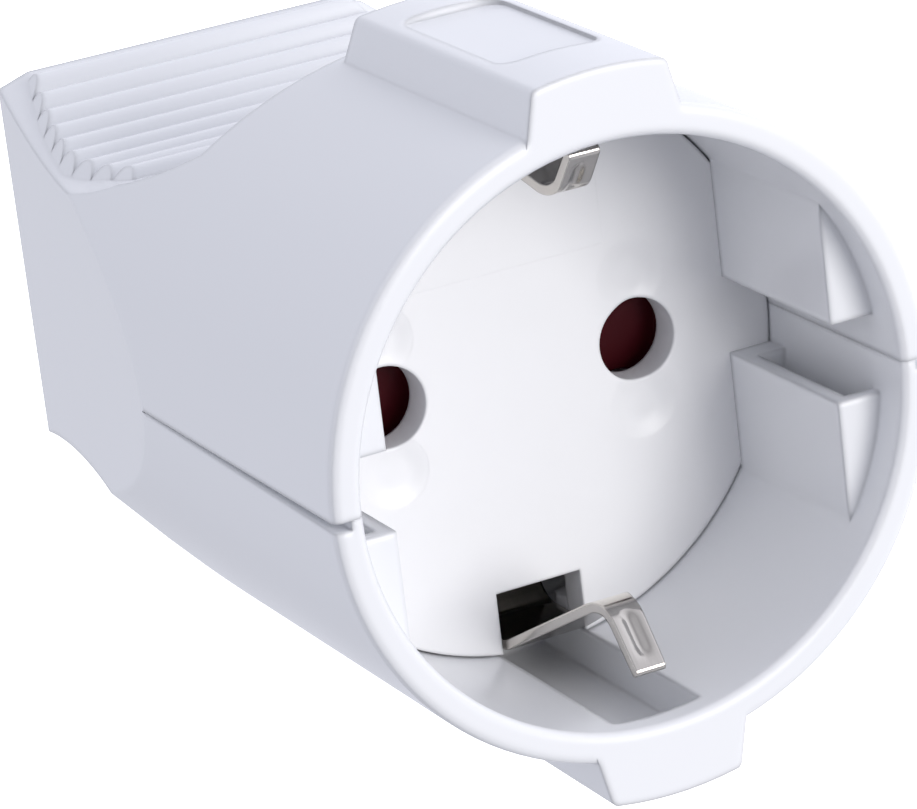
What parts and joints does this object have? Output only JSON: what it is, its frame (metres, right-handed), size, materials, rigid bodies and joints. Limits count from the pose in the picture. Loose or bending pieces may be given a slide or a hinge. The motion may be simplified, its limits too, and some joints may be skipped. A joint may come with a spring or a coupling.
{
  "type": "inline socket connector",
  "caption": "White inline mains socket: round keyed plug recess with sprung earth clips and a safety shutter, narrowing to a flat ribbed grip with a cable inlet.",
  "frame": {"origin": "centre of the flat tail face, on which the socket stands", "axes": "+Z along the socket's axis from the tail to the mouth, X through both pin holes, +Y towards the raised block of the upper shell"},
  "size_m": [0.044, 0.0498, 0.067],
  "materials": {
    "white_plastic": "satin moulded",
    "carrier_plastic": "satin moulded",
    "shutter_plastic": "smooth moulded",
    "steel": "zinc plated",
    "brass": "rolled",
    "nickel_plate": "bright nickel plate",
    "clamp_plastic": "moulded"
  },
  "bodies": {
    "socket": {"upper_shell": "white_plastic", "lower_shell": "white_plastic", "contact_carrier": "carrier_plastic", "contact_base": "carrier_plastic", "shutter_spring": "steel", "line_contact": "brass", "neutral_contact": "brass", "earth_contact": "nickel_plate", "line_terminal": "brass", "neutral_terminal": "brass", "earth_terminal": "brass", "line_terminal_screw": "steel", "neutral_terminal_screw": "steel", "earth_terminal_screw": "steel", "cord_clamp": "clamp_plastic", "cord_clamp_screws": "steel", "housing_screw": "steel"},
    "shutter": {"shutter": "shutter_plastic"}
  },
  "joints": [
    {"name": "shutter_slide", "type": "slide", "parent": "socket", "child": "shutter", "axis": [0, 1, 0], "range_m": [0, 0.0064], "stiffness_N_per_m": 150, "springref_m": -0.004, "deforming": ["shutter_spring"]}
  ]
}
